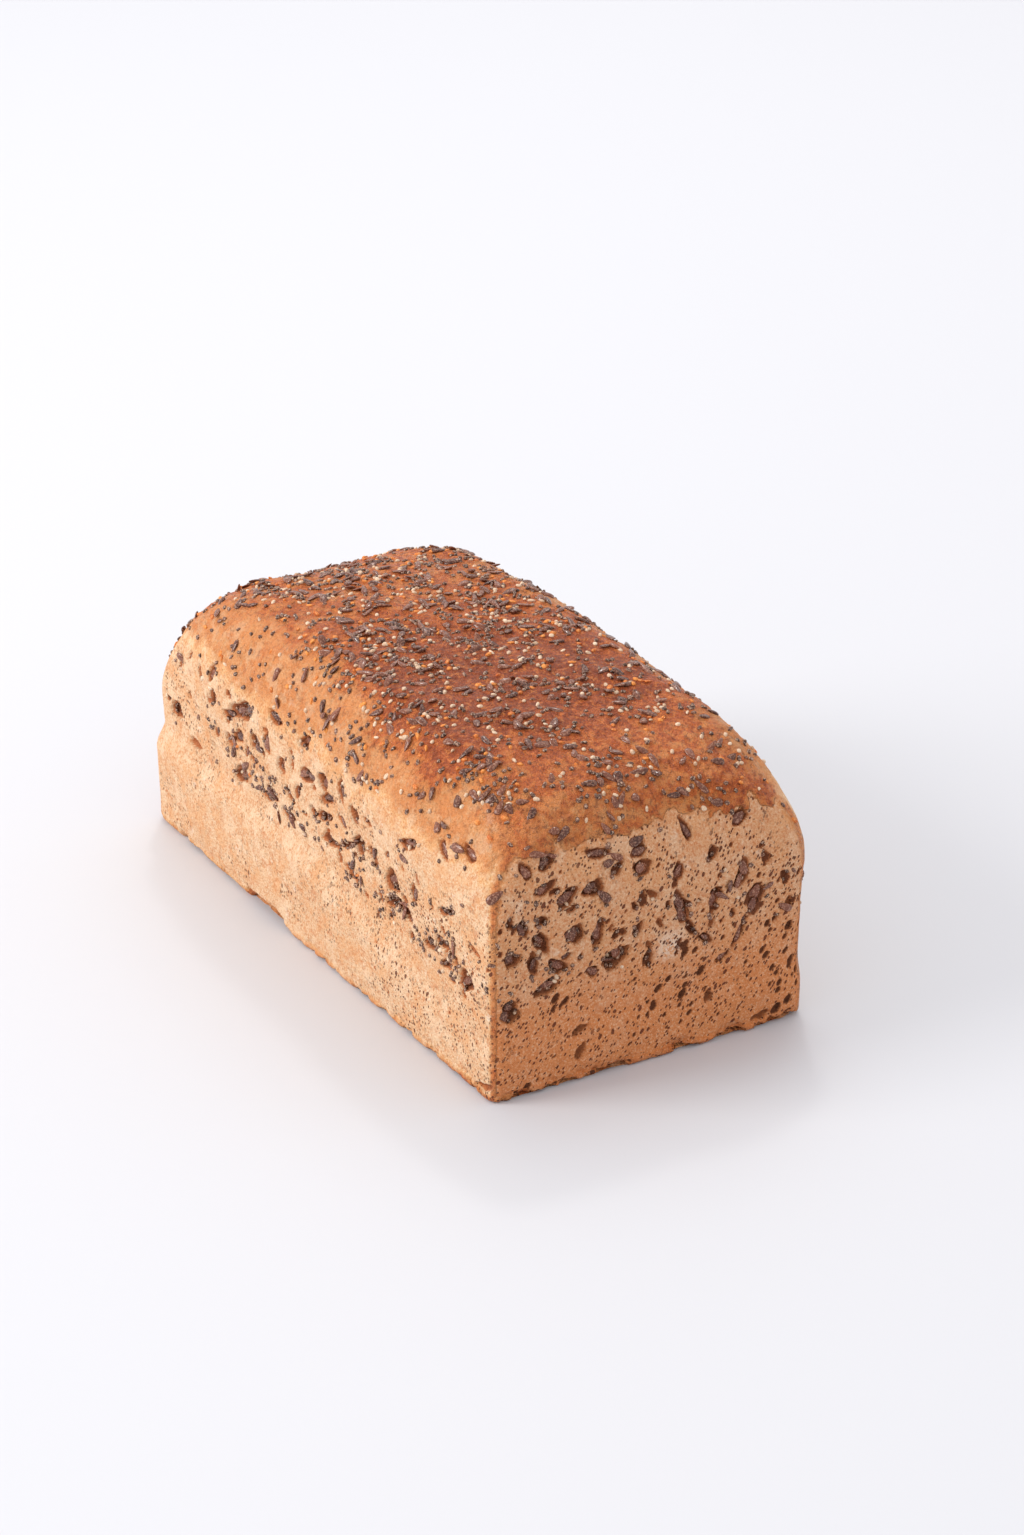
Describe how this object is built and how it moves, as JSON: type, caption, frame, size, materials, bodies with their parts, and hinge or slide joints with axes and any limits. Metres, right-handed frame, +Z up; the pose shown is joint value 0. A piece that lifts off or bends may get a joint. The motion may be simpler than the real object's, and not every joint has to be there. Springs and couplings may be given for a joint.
{
  "type": "buckwheat sourdough loaf",
  "caption": "Tin-baked buckwheat sourdough loaf with a domed brown crust set with seeds and straight crumb-pored sides.",
  "frame": {"origin": "middle of the length and width of the loaf's box, on the flat base it rests on", "axes": "+X along the length, towards the end whose foot band is lowest; +Y across the width; +Z up through the domed crust"},
  "size_m": [0.2083, 0.1088, 0.0889],
  "materials": {
    "crust": "matt baked crust, reddish brown",
    "side_crust": "matt pale tan side crust with fine open pores",
    "flax_seed": "glossy dark brown seed coat",
    "chia_seed": "satin grey-brown mottled seed coat",
    "pale_seed": "satin cream seed coat",
    "grain_grit": "toasted orange broken grain"
  },
  "bodies": {
    "root": {"loaf": "crust"}
  },
  "joints": []
}
